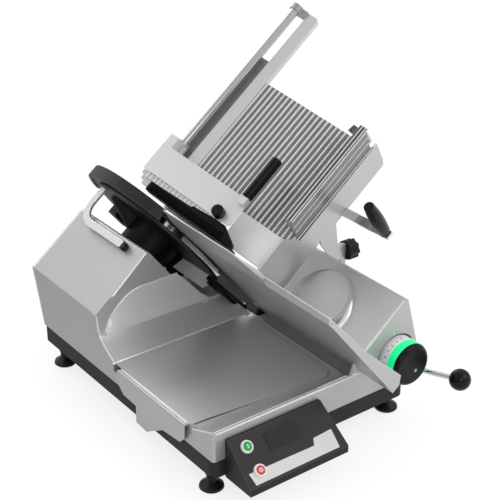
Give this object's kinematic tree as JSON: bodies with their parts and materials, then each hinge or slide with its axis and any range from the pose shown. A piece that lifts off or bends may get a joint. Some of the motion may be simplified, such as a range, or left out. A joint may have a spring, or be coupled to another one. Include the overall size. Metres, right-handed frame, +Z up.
{
  "type": "meat slicer",
  "caption": "Electric gravity slicer: tilted round blade, sliding food carriage on a rod, remnant holder, thickness dial with spiral cam, tray and push-button panel.",
  "frame": {"origin": "on the table, midway between the four feet", "axes": "+X from the receiving tray to the food chute, +Y from the user to the motor, +Z up"},
  "size_m": [0.6253, 0.7877, 0.6265],
  "materials": {
    "cast_body": "satin anodised-look silver, fine grain",
    "bright_alu": "satin brushed",
    "ribbed_alu": "polished ribs",
    "blade_steel": "hard chromed, ground edge",
    "steel": "brushed",
    "polished_steel": "polished rod",
    "black_cast": "satin black coat",
    "black_plastic": "fine matt grain",
    "knob_plastic": "soft gloss",
    "pan_plastic": "matt dark grey",
    "foot_rubber": "matt",
    "scale_white": "white with a plain scale",
    "ring_green": "green, slightly translucent look",
    "panel_grey": "dark grey, satin",
    "button_green": "soft gloss",
    "button_red": "soft gloss",
    "window": "grey display window",
    "belt_rubber": "matt",
    "brass": "turned",
    "tray_steel": "satin sheet"
  },
  "bodies": {
    "base": {"base_pan": "pan_plastic", "feet": "foot_rubber", "foot_studs": "steel", "mains_inlet": "black_plastic", "housing": "cast_body", "bearing_neck": "black_cast", "blade_bearings": "steel", "ring_guard": "black_cast", "guard_plate": "black_cast", "guard_strap": "polished_steel", "strap_grommet": "foot_rubber", "drive_belt": "belt_rubber", "motor": "black_cast", "motor_carrier": "steel", "hinge_pin": "steel", "gauge_bushes": "brass", "dial_bearing": "brass", "tray": "tray_steel", "tray_pins": "foot_rubber", "control_panel": "panel_grey", "display_window": "window", "carriage_rod": "polished_steel", "rod_brackets": "steel"},
    "blade_group": {"blade": "blade_steel", "blade_bolts": "steel", "blade_cover": "bright_alu", "cover_screw": "black_plastic", "blade_shaft": "steel", "blade_pulley": "steel"},
    "motor_rotor": {"motor_pulley": "steel"},
    "gauge": {"gauge_plate": "bright_alu", "gauge_rods": "steel", "yoke": "steel"},
    "dial": {"scale_ring": "scale_white", "index_ring": "ring_green", "dial_knob": "knob_plastic", "dial_spindle": "steel", "spiral_cam": "brass"},
    "lever_group": {"lever": "polished_steel", "lever_ball": "knob_plastic"},
    "deflector_group": {"deflector": "polished_steel", "deflector_arm": "black_cast"},
    "carriage": {"food_table": "ribbed_alu", "lower_plate": "bright_alu", "fence": "bright_alu", "carriage_wall": "bright_alu", "carriage_foot": "cast_body", "handle_bar": "bright_alu", "handle_grip": "knob_plastic", "rail": "bright_alu", "rail_rod": "polished_steel", "rail_cap": "bright_alu"},
    "carriage_lock": {"lock_knob": "black_plastic"},
    "holder_slider": {"holder_collars": "black_plastic"},
    "holder": {"holder_plate": "bright_alu", "holder_comb": "black_plastic", "holder_grip": "black_plastic"},
    "comb_clamp": {"holder_knob": "black_plastic"},
    "start": {"start_button": "button_green"},
    "stop": {"stop_button": "button_red"}
  },
  "joints": [
    {"name": "blade_spin", "type": "hinge", "parent": "base", "child": "blade_group", "pos_m": [0.03535, 0.2337, 0.23988], "axis": [0.7837, 0, 0.6211], "continuous": true},
    {"name": "motor_spin", "type": "hinge", "parent": "base", "child": "motor_rotor", "pos_m": [-0.07413, 0.15, 0.16969], "axis": [0.7837, 0, 0.6211], "continuous": true},
    {"name": "dial_turn", "type": "hinge", "parent": "base", "child": "dial", "pos_m": [0.18574, -0.281, 0.13321], "axis": [0, -1, 0], "range_deg": [0, 330]},
    {"name": "gauge_slide", "type": "slide", "parent": "base", "child": "gauge", "axis": [-0.7837, 0, -0.6211], "range_m": [0, 0.02]},
    {"name": "lever_turn", "type": "hinge", "parent": "base", "child": "lever_group", "pos_m": [0.222, -0.281, 0.098], "axis": [0, 1, 0], "range_deg": [-25, 25]},
    {"name": "deflector_swing", "type": "hinge", "parent": "base", "child": "deflector_group", "pos_m": [0.09706, 0.066, 0.10503], "axis": [0.7837, 0, 0.6211], "range_deg": [-12, 0]},
    {"name": "carriage_slide", "type": "slide", "parent": "base", "child": "carriage", "axis": [0, 1, 0], "range_m": [-0.205, 0.17]},
    {"name": "lock_turn", "type": "hinge", "parent": "carriage", "child": "carriage_lock", "pos_m": [0.262, -0.047, 0.226], "axis": [1, 0, 0], "range_deg": [-180, 180]},
    {"name": "holder_slide", "type": "slide", "parent": "carriage", "child": "holder_slider", "axis": [0.7837, 0, 0.6211], "range_m": [0, 0.29]},
    {"name": "holder_swing", "type": "hinge", "parent": "holder_slider", "child": "holder", "pos_m": [0.04544, 0.25111, 0.35047], "axis": [-0.7837, 0, -0.6211], "range_deg": [0, 45]},
    {"name": "comb_clamp_turn", "type": "hinge", "parent": "holder", "child": "comb_clamp", "pos_m": [0.04688, 0.06409, 0.3245], "axis": [-0.5837, -0.342, 0.7364], "range_deg": [-180, 180]},
    {"name": "start_press", "type": "slide", "parent": "base", "child": "start", "axis": [0, 0.6902, -0.7236], "range_m": [0, 0.003], "stiffness_N_per_m": 500},
    {"name": "stop_press", "type": "slide", "parent": "base", "child": "stop", "axis": [0, 0.6902, -0.7236], "range_m": [0, 0.003], "stiffness_N_per_m": 500}
  ],
  "couplings": [
    {"joint": "motor_spin", "follows": "blade_spin", "ratio": 2.1},
    {"joint": "gauge_slide", "follows": "dial_turn", "m_per_rad": 0.0034725}
  ]
}
